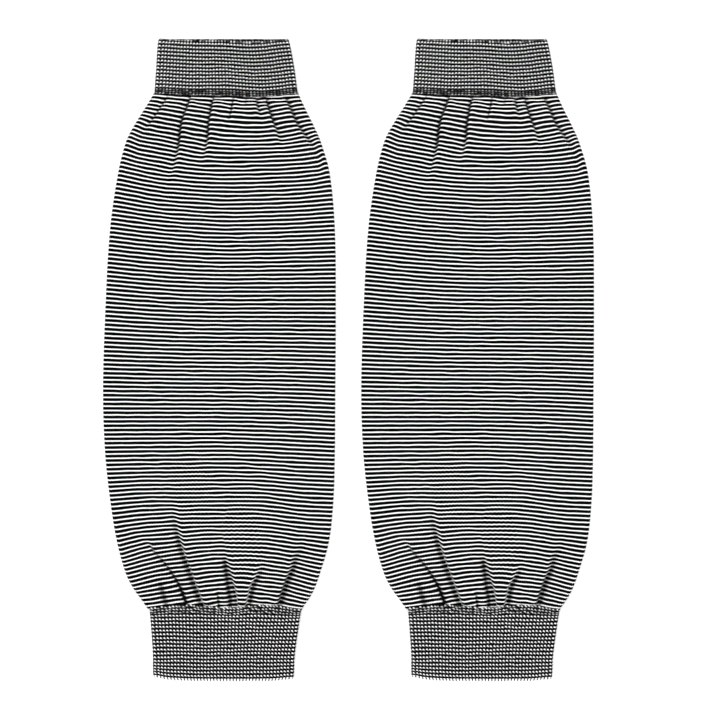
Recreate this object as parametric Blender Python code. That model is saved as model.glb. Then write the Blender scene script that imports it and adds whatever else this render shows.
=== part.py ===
"""A pair of striped knitted compression sleeves, lying flat side by side.

Each sleeve is one knitted tube in three pieces: a ribbed upper cuff that starts with a low
band, a wide plain body gathered into both cuffs, and a taller ribbed lower cuff.
World axes: +X across the pair, +Y along the sleeves to their upper cuffs, +Z up from the
surface that they lie on. The origin is under the middle of the pair.
Sizes are in millimetres. Along is a distance up the sleeve from its lower rim, and across
runs from -1 at the sleeve's left fold to 1 at its right one.
"""

import math
from collections import namedtuple

import bmesh
import bpy

METRES_PER_MM = 0.001

# Driving sizes of the pair
SLEEVE_LENGTH = 416.7
SLEEVE_SPACING = 167.7
LOWER_SEAM = 48.5
UPPER_SEAM = 379.9
SEAM_GAP = 0.3

# The cloth: its wall, and the thin hollow left between the front and the back
BODY_WALL = 1.2
CUFF_WALL = 1.6
HOLLOW = 0.8
RIBS_ON_FRONT = 40
RIB_RAISE = 0.45
BAND_HEIGHT = 4.7
BAND_RAISE = 0.35

# The upper mouth, which stands slightly open: its middle ring is a share of its depth below the
# rim, and its corner ring lies just under the rim
MOUTH_DIP = 1.3
MOUTH_RISE = 1.4
MOUTH_DEPTH = 22.0
MOUTH_HALF_WIDTH = 0.78
MOUTH_MIDDLE = 0.4
MOUTH_CORNER = 2.0

# Points round one ring of the tube
BODY_FRONT_POINTS = 40
BACK_POINTS = 8
SIDE_ANGLES = (45.0, 0.0, -45.0)

Edges = namedtuple("Edges", "along left right")

# The photo's outline: how far the left and right folds are from the sleeve's own centre line
LOWER_CUFF_OUTLINE = (
    Edges(0.0, -41.6, 47.4),
    Edges(2.6, -43.0, 48.4),
    Edges(17.1, -43.3, 49.2),
    Edges(44.9, -45.3, 53.1),
    Edges(49.1, -45.9, 53.6),
)
BODY_OUTLINE = (
    Edges(44.9, -45.3, 53.1),
    Edges(48.2, -47.8, 54.9),
    Edges(53.4, -51.4, 58.5),
    Edges(58.6, -55.3, 61.4),
    Edges(69.1, -60.8, 65.3),
    Edges(89.8, -66.6, 71.2),
    Edges(115.8, -70.9, 74.1),
    Edges(148.1, -74.4, 75.1),
    Edges(188.6, -75.7, 75.4),
    Edges(240.6, -74.2, 75.7),
    Edges(292.6, -71.2, 75.1),
    Edges(329.0, -66.0, 71.8),
    Edges(349.8, -60.8, 66.0),
    Edges(360.2, -55.6, 61.4),
    Edges(370.6, -49.1, 56.2),
    Edges(381.6, -42.4, 51.2),
)
UPPER_CUFF_OUTLINE = (
    Edges(379.1, -42.6, 51.4),
    Edges(381.6, -42.3, 51.0),
    Edges(396.4, -41.3, 49.1),
    Edges(414.7, -40.0, 45.6),
    Edges(416.7, -38.9, 44.5),
)

# How far a knitted row of the body runs up or down at the two folds, from its middle height
BODY_ROW_BEND = (
    Edges(48.5, -3.0, -3.0),
    Edges(56.1, -4.6, -5.6),
    Edges(64.1, -6.8, -7.8),
    Edges(74.1, -7.8, -7.8),
    Edges(88.1, -6.0, -6.9),
    Edges(105.1, -3.9, -4.5),
    Edges(128.1, -2.2, -3.4),
    Edges(171.1, 0.0, -2.1),
    Edges(215.1, 2.3, -1.1),
    Edges(258.1, 4.7, 0.6),
    Edges(290.1, 6.4, 2.1),
    Edges(312.1, 8.1, 3.4),
    Edges(334.1, 8.1, 4.9),
    Edges(345.1, 7.5, 4.9),
    Edges(358.1, 5.8, 2.0),
    Edges(369.1, 3.8, 1.8),
    Edges(379.9, 1.3, 1.0),
)
LEFT_BEND_POWER = 1.6
RIGHT_BEND_POWER = 2.3
SEAM_BLEND = 9.0
LOWER_SEAM_BEND_POWER = 6.0

# Rows of the upper cuff: across, and how far the row stands above its middle height
UPPER_ROW_CURVE = ((-1.0, 1.3), (-0.45, 0.3), (0.0, 0.0), (0.48, -1.0), (1.0, 1.0))

# The lower rim, which turns up at its corners: across, and how far it stands above its middle
LOWER_RIM_CURVE = ((-1.0, 2.3), (-0.88, 1.1), (-0.7, 0.4), (-0.4, 0.0), (0.7, 0.0), (1.0, 1.0))
RIM_CURVE_REACH = 15.0

Fold = namedtuple("Fold", "column top_side shift rise reach_top reach_under route")

# The gathers. Each crease runs between two columns of the front's points, this column and the
# next, along its route of (x, along) places from the seam to its end. The cloth on its top side,
# 1 for the right and -1 for the left, lies over the cloth beside it: it is lifted by rise, and
# its knitted rows are moved towards the cuff by shift.
UPPER_FOLDS = (
    Fold(3, 1, 1.6, 1.3, 9.0, 4.0, ((-34.1, 377.7), (-45.8, 359.8))),
    Fold(9, 1, 1.9, 1.8, 11.0, 5.0,
         ((-19.2, 377.1), (-25.0, 360.2), (-27.0, 343.9), (-34.8, 311.4))),
    Fold(16, 1, 1.6, 1.7, 9.0, 5.0, ((-2.9, 377.4), (-7.5, 353.7), (-10.1, 341.3))),
    Fold(20, 1, 0.7, 0.8, 6.0, 3.0, ((9.4, 379.0), (5.5, 363.4))),
    Fold(26, -1, 0.9, 0.9, 5.0, 3.0, ((22.4, 379.0), (25.7, 369.3), (26.0, 365.4))),
    Fold(30, -1, 2.2, 1.7, 8.0, 4.5, ((29.6, 378.4), (33.5, 368.0), (38.0, 353.7))),
    Fold(35, -1, 2.4, 1.8, 10.0, 4.5,
         ((43.2, 378.4), (49.1, 365.4), (56.2, 350.4), (61.4, 343.9))),
)
LOWER_FOLDS = (
    Fold(8, 1, 1.8, 1.5, 8.0, 5.0,
         ((-20.5, 48.8), (-28.3, 65.7), (-35.1, 76.1), (-43.2, 85.9))),
    Fold(12, 1, 2.8, 1.9, 10.0, 5.0,
         ((-9.8, 50.8), (-17.2, 69.6), (-23.1, 83.9), (-30.2, 99.5))),
    Fold(19, -1, 0.5, 1.0, 5.0, 4.0, ((7.2, 52.8), (4.5, 69.3), (1.8, 86.0))),
    Fold(21, 1, 3.0, 1.7, 6.0, 5.0, ((12.4, 50.8), (9.0, 66.0), (5.6, 80.0))),
    Fold(24, -1, 2.9, 1.7, 5.0, 5.0, ((17.4, 50.8), (20.0, 61.8), (26.0, 75.0))),
    Fold(33, -1, 2.8, 1.9, 10.0, 5.0,
         ((38.0, 52.4), (41.3, 60.5), (45.2, 69.6), (51.0, 79.4), (56.0, 90.1))),
)
CREASE_WIDTH = 2.4
CREASE_FADE = 30.0
CREASE_SOFT_SHARE = 0.67
GATHER_PUFF = 1.0
GATHER_PUFF_LENGTH = 14.0
UNDER_DIP = 0.35
FOLD_EDGE_POWER = 6.0

# Heights of the body's rows: close together in the gathers, wide apart between them
BODY_ROWS = (
    51.0, 54.1, 58.1, 63.1, 68.1, 74.1, 81.1, 89.1, 99.1, 118.1, 148.1, 188.1,
    228.1, 268.1, 298.1, 316.1, 330.1, 342.1, 352.1, 360.1, 367.1, 373.1, 377.4,
)
LOWER_CUFF_ROWS = (0.0, 0.06, 0.2, 0.4, 1.0)


def mix(low, high, share):
    return low + (high - low) * share


def smooth_step(value):
    value = min(max(value, 0.0), 1.0)
    return value * value * (3.0 - 2.0 * value)


def curve_through(points, at):
    """The height at one place of a smooth curve through (place, height) points."""
    if at <= points[0][0]:
        return points[0][1]
    if at >= points[-1][0]:
        return points[-1][1]
    index = next(i for i in range(len(points) - 1) if at <= points[i + 1][0])

    def slope(i):
        before, after = points[max(i - 1, 0)], points[min(i + 1, len(points) - 1)]
        return (after[1] - before[1]) / (after[0] - before[0])

    (start, low), (end, high) = points[index], points[index + 1]
    width = end - start
    share = (at - start) / width
    rise = smooth_step(share)
    leave = share * (1.0 - share) ** 2 * width * slope(index)
    arrive = share * share * (share - 1.0) * width * slope(index + 1)
    return mix(low, high, rise) + leave + arrive


def edges_at(table, along):
    left = curve_through([(row.along, row.left) for row in table], along)
    right = curve_through([(row.along, row.right) for row in table], along)
    return left, right


def upper_seam_along(across):
    return UPPER_SEAM + curve_through(UPPER_ROW_CURVE, across)


def lower_seam_along(across):
    return LOWER_SEAM + BODY_ROW_BEND[0].left * abs(across) ** LOWER_SEAM_BEND_POWER


def body_row_along(row, across):
    """Where a knitted row of the body, named by its middle height, passes this place."""
    left, right = edges_at(BODY_ROW_BEND, row)
    if across < 0.0:
        bend = left * abs(across) ** LEFT_BEND_POWER
    else:
        bend = right * across ** RIGHT_BEND_POWER
    low = lower_seam_along(across) + SEAM_GAP + (row - LOWER_SEAM)
    high = upper_seam_along(across) - SEAM_GAP - (UPPER_SEAM - row)
    free = row + bend
    near_low = smooth_step((row - LOWER_SEAM) / SEAM_BLEND)
    near_high = smooth_step((UPPER_SEAM - row) / SEAM_BLEND)
    return mix(high, mix(low, free, near_low), near_high)


def column_across(column):
    return mix(-1.0, 1.0, column / (BODY_FRONT_POINTS - 1))


def crease_at(fold, row):
    """Where a row meets a crease: its x, how far it draws its columns sideways, its strength."""
    across = column_across(fold.column + 0.5)
    along = body_row_along(row, across)
    seam, end = fold.route[0][1], fold.route[-1][1]
    on_route = min(max(along, min(seam, end)), max(seam, end))
    left, right = edges_at(BODY_OUTLINE, on_route)
    route_x = curve_through(sorted((y, x) for x, y in fold.route), on_route)
    draw = route_x - mix(left, right, 0.5 + 0.5 * across)
    past_end = (along - end) / (end - seam) * abs(end - seam)
    draw *= smooth_step(1.0 - past_end / CREASE_FADE)
    strength = smooth_step((end - along) / (end - seam) / CREASE_SOFT_SHARE)
    left, right = edges_at(BODY_OUTLINE, along)
    return mix(left, right, 0.5 + 0.5 * across) + draw, draw, strength


def column_draws(folds, creases, spacing):
    """How far each column of the front is drawn sideways by the creases of one cuff."""
    knots = [(0.0, 0.0)]
    knots += [(fold.column + 0.5, crease[1]) for fold, crease in zip(folds, creases)]
    knots += [(BODY_FRONT_POINTS - 1.0, 0.0)]
    draws = []
    for column in range(BODY_FRONT_POINTS):
        place = next(i for i in range(len(knots) - 1) if column <= knots[i + 1][0])
        (start, low), (end, high) = knots[place], knots[place + 1]
        draws.append(mix(low, high, (column - start) / (end - start)))
    for fold, (_, _, strength) in zip(folds, creases):
        tighten = 0.5 * (spacing - CREASE_WIDTH) * strength
        draws[fold.column] += tighten
        draws[fold.column + 1] -= tighten
    return draws


def fold_effect(folds, creases, column, x, to_cuff):
    """How far the gathers of one cuff move a row along the sleeve here, and lift the cloth."""
    shift = 0.0
    top = 0.0
    dip = 0.0
    for fold, (crease_x, _, strength) in zip(folds, creases):
        on_top = (column > fold.column) == (fold.top_side > 0)
        reach = fold.reach_top if on_top else fold.reach_under
        fade = strength * math.exp(-abs(x - crease_x) / reach)
        if on_top:
            shift += 0.5 * to_cuff * fold.shift * fade
            top = max(top, fold.rise * fade)
        else:
            shift -= 0.5 * to_cuff * fold.shift * fade
            dip += UNDER_DIP * fade
    return shift, top - dip


def ring_places(front_points):
    """(across, side angle, on the front) for each point round the tube, front first."""
    front = [mix(-1.0, 1.0, i / (front_points - 1)) for i in range(front_points)]
    back = [mix(1.0, -1.0, i / (BACK_POINTS - 1)) for i in range(BACK_POINTS)]
    places = [(across, None, True) for across in front]
    places += [(1.0, angle, False) for angle in SIDE_ANGLES]
    places += [(across, None, False) for across in back]
    places += [(-1.0, angle, False) for angle in reversed(SIDE_ANGLES)]
    return places


def tube_point(outline, wall, inside, place, along, lift=0.0, draw=0.0):
    """One point of the tube's outer or inner skin. Lift raises the front, draw slides it in X."""
    across, angle, on_front = place
    left, right = edges_at(outline, along)
    half = 0.5 * (right - left)
    round_radius = wall + 0.5 * HOLLOW
    skin_radius = 0.5 * HOLLOW if inside else round_radius
    x = 0.5 * (left + right) + across * (half - round_radius) + draw
    if angle is not None:
        x += across * skin_radius * math.cos(math.radians(angle))
        height = skin_radius * math.sin(math.radians(angle))
    elif on_front:
        height = skin_radius + lift
    else:
        height = -skin_radius
    return x, along, round_radius + height


def body_front(row):
    """(along, lift, draw) for each column of the front, on one row."""
    upper = [crease_at(fold, row) for fold in UPPER_FOLDS]
    lower = [crease_at(fold, row) for fold in LOWER_FOLDS]
    left, right = edges_at(BODY_OUTLINE, row)
    spacing = (right - left) / (BODY_FRONT_POINTS - 1)
    upper_draws = column_draws(UPPER_FOLDS, upper, spacing)
    lower_draws = column_draws(LOWER_FOLDS, lower, spacing)
    to_seam = min(row - LOWER_SEAM, UPPER_SEAM - row)
    puff = GATHER_PUFF * math.exp(-to_seam / GATHER_PUFF_LENGTH)
    seam_fade = smooth_step(to_seam / SEAM_BLEND)
    places = []
    for column in range(BODY_FRONT_POINTS):
        across = column_across(column)
        along = body_row_along(row, across)
        draw = upper_draws[column] + lower_draws[column]
        left, right = edges_at(BODY_OUTLINE, along)
        x = mix(left, right, 0.5 + 0.5 * across) + draw
        upper_shift, upper_rise = fold_effect(UPPER_FOLDS, upper, column, x, 1.0)
        lower_shift, lower_rise = fold_effect(LOWER_FOLDS, lower, column, x, -1.0)
        edge_fade = 1.0 - abs(across) ** FOLD_EDGE_POWER
        along += (upper_shift + lower_shift) * edge_fade * seam_fade
        places.append((along, (puff + upper_rise + lower_rise) * edge_fade, draw))
    return places


def body_ring(row, inside):
    front = body_front(row)
    ring = []
    for index, place in enumerate(ring_places(BODY_FRONT_POINTS)):
        if place[2]:
            along, lift, draw = front[index]
            ring.append(tube_point(BODY_OUTLINE, BODY_WALL, inside, place, along, lift, draw))
        else:
            along = body_row_along(row, place[0])
            ring.append(tube_point(BODY_OUTLINE, BODY_WALL, inside, place, along))
    return ring


def rib_raise(place, index):
    """The front's ribs: every second point round the front is on a rib's crest."""
    return RIB_RAISE if place[2] and index % 2 == 1 else 0.0


def lower_cuff_ring(share, inside):
    """A ring of the lower cuff, from its rim at share 0 to its seam at share 1."""
    ring = []
    for index, place in enumerate(ring_places(2 * RIBS_ON_FRONT)):
        rim = curve_through(LOWER_RIM_CURVE, place[0])
        along = share * lower_seam_along(place[0])
        along += rim * (1.0 - smooth_step(along / RIM_CURVE_REACH))
        lift = 0.0 if inside else rib_raise(place, index)
        ring.append(tube_point(LOWER_CUFF_OUTLINE, CUFF_WALL, inside, place, along, lift))
    return ring


def upper_cuff_ring(height, band, inside):
    """A ring of the upper cuff, at this height above its seam, on the band's crest or not."""
    cuff_height = SLEEVE_LENGTH - UPPER_SEAM
    share = height / cuff_height
    ring = []
    for index, place in enumerate(ring_places(2 * RIBS_ON_FRONT)):
        across, _, on_front = place
        seam = upper_seam_along(across)
        if on_front:
            along = seam + share * (cuff_height - MOUTH_DIP)
        else:
            along = mix(seam, SLEEVE_LENGTH, share)
        edge = min(1.0, abs(across) / MOUTH_HALF_WIDTH)
        to_rim = cuff_height - height
        mouth = (1.0 - edge * edge) ** 2 * smooth_step(1.0 - to_rim / MOUTH_DEPTH)
        lift = MOUTH_RISE * mouth
        if not inside:
            lift += rib_raise(place, index) + (BAND_RAISE if band else 0.0)
        ring.append(tube_point(UPPER_CUFF_OUTLINE, CUFF_WALL, inside, place, along, lift))
    return ring


def tube_mesh(name, outer, inner):
    """A closed tube wall between the rings of its outer skin and those of its inner skin."""
    shell = bmesh.new()

    def add_rings(rings):
        return [
            [shell.verts.new([value * METRES_PER_MM for value in point]) for point in ring]
            for ring in rings
        ]

    def join(first, second):
        for index in range(len(first)):
            after = (index + 1) % len(first)
            shell.faces.new((first[index], first[after], second[after], second[index]))

    outer_rings = add_rings(outer)
    inner_rings = add_rings(inner)
    for rings in (outer_rings, inner_rings):
        for lower, upper in zip(rings, rings[1:]):
            join(lower, upper)
    join(outer_rings[0], inner_rings[0])
    join(outer_rings[-1], inner_rings[-1])
    bmesh.ops.recalc_face_normals(shell, faces=shell.faces)
    mesh = bpy.data.meshes.new(name)
    shell.to_mesh(mesh)
    shell.free()
    mesh.shade_smooth()
    return mesh


def body_mesh():
    rows = (LOWER_SEAM, *BODY_ROWS, UPPER_SEAM)
    outer = [body_ring(row, False) for row in rows]
    inner = [body_ring(row, True) for row in rows]
    return tube_mesh("body", outer, inner)


def lower_cuff_mesh():
    outer = [lower_cuff_ring(share, False) for share in LOWER_CUFF_ROWS]
    inner = [lower_cuff_ring(share, True) for share in LOWER_CUFF_ROWS]
    return tube_mesh("lower_cuff", outer, inner)


def upper_cuff_mesh():
    cuff_height = SLEEVE_LENGTH - UPPER_SEAM
    corner = cuff_height - MOUTH_CORNER
    mouth_start = cuff_height - MOUTH_DEPTH
    mouth_middle = cuff_height - MOUTH_MIDDLE * MOUTH_DEPTH
    outer_rows = (
        (0.0, False), (0.5 * BAND_HEIGHT, True), (BAND_HEIGHT, False),
        (mouth_start, False), (mouth_middle, False), (corner, False), (cuff_height, False),
    )
    outer = [upper_cuff_ring(height, band, False) for height, band in outer_rows]
    inner_rows = (0.0, mouth_start, mouth_middle, corner, cuff_height)
    inner = [upper_cuff_ring(height, False, True) for height in inner_rows]
    return tube_mesh("upper_cuff", outer, inner)


def knit_material(name, colour):
    """Matt spun yarn, whose short fibres scatter light softly."""
    material = bpy.data.materials.new(name)
    material.use_nodes = True
    shader = material.node_tree.nodes["Principled BSDF"]
    shader.inputs["Base Color"].default_value = (*colour, 1.0)
    shader.inputs["Roughness"].default_value = 0.95
    shader.inputs["Metallic"].default_value = 0.0
    shader.inputs["Sheen Weight"].default_value = 0.2
    material.diffuse_color = (*colour, 1.0)
    return material


def clear_scene():
    for thing in list(bpy.data.objects):
        bpy.data.objects.remove(thing, do_unlink=True)


def main():
    clear_scene()
    pieces = (
        (upper_cuff_mesh(), knit_material("upper cuff knit", (0.30, 0.30, 0.30))),
        (body_mesh(), knit_material("body knit", (0.42, 0.42, 0.42))),
        (lower_cuff_mesh(), knit_material("lower cuff knit", (0.30, 0.30, 0.31))),
    )
    for mesh, material in pieces:
        mesh.materials.append(material)
    for side, direction in (("left", -1.0), ("right", 1.0)):
        sleeve = bpy.data.objects.new(side + "_sleeve", None)
        sleeve.location.x = direction * 0.5 * SLEEVE_SPACING * METRES_PER_MM
        sleeve.location.y = -0.5 * SLEEVE_LENGTH * METRES_PER_MM
        bpy.context.scene.collection.objects.link(sleeve)
        for mesh, _ in pieces:
            piece = bpy.data.objects.new(f"{side}_{mesh.name}", mesh)
            piece.parent = sleeve
            bpy.context.scene.collection.objects.link(piece)


main()
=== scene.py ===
"""The knitted finish of a pair of striped compression sleeves, lying flat side by side.

Each sleeve is worked in one tube: a ribbed upper cuff with a band of mixed yarn at its base, a
plain body in single black and white courses, gathered into both cuffs, and a ribbed lower cuff.
The sleeve is worked out in millimetres in its own place: x from its centre line, along from its
lower rim, height from the floor. A course is one knitted row, and a wale one column of stitches.
Across runs from -1 at the sleeve's left fold to 1 at its right one.
"""

import math
from collections import namedtuple
from functools import partial

import bpy
import numpy as np
from bpy.props import FloatProperty, FloatVectorProperty, PointerProperty
from bpy.types import Operator, Panel, PropertyGroup
from mathutils import Matrix, Vector


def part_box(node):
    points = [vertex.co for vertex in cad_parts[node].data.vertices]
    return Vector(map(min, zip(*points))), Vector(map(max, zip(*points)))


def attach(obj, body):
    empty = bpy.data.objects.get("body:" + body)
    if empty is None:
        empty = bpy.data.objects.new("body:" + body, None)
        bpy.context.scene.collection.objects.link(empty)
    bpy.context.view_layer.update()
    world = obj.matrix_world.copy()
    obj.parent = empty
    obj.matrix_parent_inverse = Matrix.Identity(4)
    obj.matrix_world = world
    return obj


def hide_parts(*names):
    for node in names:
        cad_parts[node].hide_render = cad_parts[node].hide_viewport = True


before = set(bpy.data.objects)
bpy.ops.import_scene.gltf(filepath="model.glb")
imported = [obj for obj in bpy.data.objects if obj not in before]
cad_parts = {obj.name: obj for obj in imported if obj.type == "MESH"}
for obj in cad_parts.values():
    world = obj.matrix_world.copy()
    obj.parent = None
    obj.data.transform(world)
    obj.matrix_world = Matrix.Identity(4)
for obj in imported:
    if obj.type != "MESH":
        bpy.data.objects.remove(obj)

bl_info = {
    "name": "Knitted compression sleeves",
    "version": (1, 0, 0),
    "blender": (4, 5, 0),
    "location": "View3D > Sidebar > Sleeves",
    "description": "Knits a pair of striped sleeves with ribbed cuffs, and lights them",
    "category": "Object",
}

MM = 0.001
BODY_NAME = "root"

# Where the sleeves lie and how long one is, read from the frame, and where its two seams are
CUFF_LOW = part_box("left_lower_cuff")[0]
SLEEVE_LENGTH = (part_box("left_upper_cuff")[1].y - CUFF_LOW.y) / MM
SLEEVE_SPACING = (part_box("right_body")[0].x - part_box("left_body")[0].x) / MM
LOWER_SEAM = 48.5
UPPER_SEAM = 379.9
SEAM_TUCK = 0.2

# The cloth, and how high its stitches stand on it
BODY_WALL = 1.2
CUFF_WALL = 1.6
HOLLOW = 0.8
BODY_RELIEF = 0.3
CUFF_RELIEF = 0.9

# The upper mouth, which stands slightly open
MOUTH_DIP = 1.9
MOUTH_RISE = 1.4
MOUTH_DEPTH = 22.0
MOUTH_HALF_WIDTH = 0.78

# Wales of the body and ribs of a cuff: on the front, round each side fold, and on the back
BODY_WALES = (82, 3, 82)
CUFF_RIBS = (40, 3, 40)
WALES_IN_RIB = 2.0

Edges = namedtuple("Edges", "along left right")

# How far the left and right folds are from the sleeve's own centre line
LOWER_CUFF_OUTLINE = (
    Edges(0.0, -41.6, 47.4),
    Edges(2.6, -43.0, 48.4),
    Edges(17.1, -43.3, 49.2),
    Edges(44.9, -45.3, 53.1),
    Edges(49.1, -45.9, 53.6),
)
BODY_OUTLINE = (
    Edges(44.9, -45.3, 53.1),
    Edges(48.2, -47.8, 54.9),
    Edges(53.4, -51.4, 58.5),
    Edges(58.6, -55.3, 61.4),
    Edges(69.1, -60.8, 65.3),
    Edges(89.8, -66.6, 71.2),
    Edges(115.8, -70.9, 74.1),
    Edges(148.1, -74.4, 75.1),
    Edges(188.6, -75.7, 75.4),
    Edges(240.6, -74.2, 75.7),
    Edges(292.6, -71.2, 75.1),
    Edges(329.0, -66.0, 71.8),
    Edges(349.8, -60.8, 66.0),
    Edges(360.2, -55.6, 61.4),
    Edges(370.6, -49.1, 56.2),
    Edges(381.6, -42.4, 51.2),
)
UPPER_CUFF_OUTLINE = (
    Edges(379.1, -42.6, 51.4),
    Edges(381.6, -42.3, 51.0),
    Edges(396.4, -41.3, 49.1),
    Edges(414.7, -40.0, 45.6),
    Edges(416.7, -38.9, 44.5),
)

Bend = namedtuple("Bend", "along left mid_left near_left near_right mid_right right")

# How far a course of the body, named by its middle height, runs up or down on its way to the two
# folds. BEND_PLACES are the places across of the six values, and it is 0 at the middle.
BEND_PLACES = (-1.0, -0.7, -0.35, 0.35, 0.7, 1.0)
BODY_ROW_BEND = (
    Bend(44.0, -1.5, 0.2, 0.0, 0.0, -0.8, -2.0),
    Bend(48.5, -1.8, 0.2, 0.0, 0.0, -1.0, -2.8),
    Bend(56.0, -2.0, 0.1, 0.0, -0.2, -1.2, -4.0),
    Bend(65.0, -3.6, 0.3, -0.3, -1.1, -1.9, -5.6),
    Bend(77.0, -4.3, -0.4, -0.4, -1.4, -2.9, -6.1),
    Bend(88.0, -4.9, -1.4, -0.5, -1.1, -3.4, -6.1),
    Bend(105.0, -2.9, -0.8, 0.2, -0.2, -3.2, -4.3),
    Bend(116.0, -2.0, -0.3, -0.2, -0.1, -3.1, -4.0),
    Bend(128.0, -1.5, -0.4, -0.3, -0.3, -2.5, -3.5),
    Bend(143.0, -1.0, -0.6, -0.4, -0.8, -2.3, -3.3),
    Bend(171.0, 0.1, 0.1, 0.1, -0.5, -1.3, -2.4),
    Bend(215.0, 2.3, 1.3, 0.4, -0.2, -0.6, -1.2),
    Bend(258.0, 4.7, 2.6, 0.8, 0.1, 0.3, 0.6),
    Bend(290.0, 6.4, 3.7, 1.4, 0.3, 1.1, 2.2),
    Bend(312.0, 7.6, 4.0, 1.5, 0.4, 1.4, 3.3),
    Bend(334.0, 8.1, 4.0, 1.0, 0.4, 1.7, 4.9),
    Bend(345.0, 7.9, 4.1, 1.0, 0.2, 1.4, 4.6),
    Bend(358.0, 5.6, 2.5, 0.9, -0.8, -0.3, 1.7),
    Bend(369.0, 2.8, 1.4, 0.4, -1.1, -0.9, 0.0),
    Bend(379.9, 2.2, 1.0, 0.2, -1.1, -1.1, 0.0),
)

# The lower seam: across, and how far it stands above its middle height. It takes the last courses
# of its cuff with it, and the courses on both sides of it run unevenly.
LOWER_SEAM_CURVE = (
    (-1.0, -1.4), (-0.8, -0.2), (-0.5, 0.3), (-0.25, -0.4), (0.0, -1.2), (0.2, -0.8),
    (0.35, 0.2), (0.6, 0.4), (0.8, -0.4), (1.0, -2.4),
)
LOWER_SEAM_REACH = 9.0
SEAM_WOBBLE = 2.5
SEAM_WOBBLE_REACH = 6.0
BODY_WOBBLE = 1.5
BODY_WOBBLE_REACH = 5.0

# Where a body's course runs past a cuff's edge it lies packed under it. Near a cuff the gathers
# come down to this height above the plain body, over this length.
HIDDEN_COURSES = 3
HIDDEN_SHARE = 0.03
SEAM_HEIGHT = 0.5
SEAM_ROLL = 3.0

# Courses of the upper cuff: across, and how far the course stands above its middle height
UPPER_ROW_CURVE = ((-1.0, 1.3), (-0.45, 0.3), (0.0, 0.0), (0.48, -1.0), (1.0, 1.0))

# The lower rim, which turns up at its corners: across, and how far it stands above its middle
LOWER_RIM_CURVE = ((-1.0, 2.3), (-0.88, 1.1), (-0.7, 0.4), (-0.4, 0.0), (0.7, 0.0), (1.0, 1.0))
RIM_CURVE_REACH = 15.0

CuffBend = namedtuple("CuffBend", "across low middle high")

# How far the cuffs' courses stand above their plain height, at three shares of the cuff's own
# height. BEND_SHARES has these three between the cuff's two ends, where it is 0.
UPPER_CUFF_BENDS = (
    CuffBend(-1.0, 0.0, 0.0, 0.0),
    CuffBend(-0.5, -0.2, -0.3, -0.2),
    CuffBend(-0.1, 0.4, 0.0, -0.4),
    CuffBend(0.3, 0.4, 0.0, -0.3),
    CuffBend(0.7, -0.3, -0.2, 0.0),
    CuffBend(1.0, -0.1, 0.0, 0.0),
)
LOWER_CUFF_BENDS = (
    CuffBend(-1.0, -0.4, 0.1, 0.3),
    CuffBend(-0.7, -0.1, 0.1, 0.3),
    CuffBend(-0.3, -0.3, -0.5, 0.1),
    CuffBend(0.0, -0.1, -0.3, -0.1),
    CuffBend(0.4, 0.0, 0.0, -0.1),
    CuffBend(0.8, 0.0, 0.0, -0.3),
    CuffBend(1.0, 0.0, 0.0, 0.0),
)
BEND_SHARES = (0.0, 0.17, 0.5, 0.83, 1.0)

# How uneven the courses run, as a sum of waves, how fast these turn along and across, and how
# soon they set in above the lower rim
COURSE_WOBBLE = 0.11
WOBBLE_WAVES = 9
WAVE_ALONG = (0.15, 1.1)
WAVE_ACROSS = (0.1, 0.9)
RIM_WOBBLE_START = 4.0

Course = namedtuple("Course", "number along")

# Where some of the courses lie on the sleeve's middle line. The others run evenly between them.
BODY_COURSES = (
    Course(0.0, 48.5),
    Course(4.5, 54.3),
    Course(12.5, 65.6),
    Course(22.5, 79.3),
    Course(30.5, 89.9),
    Course(40.5, 102.8),
    Course(70.5, 143.9),
    Course(110.5, 198.2),
    Course(150.5, 252.5),
    Course(190.5, 306.4),
    Course(210.5, 333.8),
    Course(222.5, 350.5),
    Course(234.5, 368.9),
    Course(240.5, 376.4),
    Course(243.0, 379.4),
)
UPPER_CUFF_COURSES = (
    Course(0.0, 379.9),
    Course(1.5, 380.8),
    Course(2.5, 381.4),
    Course(4.5, 382.6),
    Course(5.5, 383.5),
    Course(18.5, 398.7),
    Course(32.0, 414.8),
)
LOWER_CUFF_COURSES = (
    Course(-0.1, 0.1),
    Course(1.0, 1.5),
    Course(21.0, 25.8),
    Course(36.0, 43.9),
    Course(41.0, 48.5),
)

Fold = namedtuple(
    "Fold", "across top_side shift rise dip reach_top reach_under "
    "shade shade_place shade_reach line crisp_end route"
)

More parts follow.
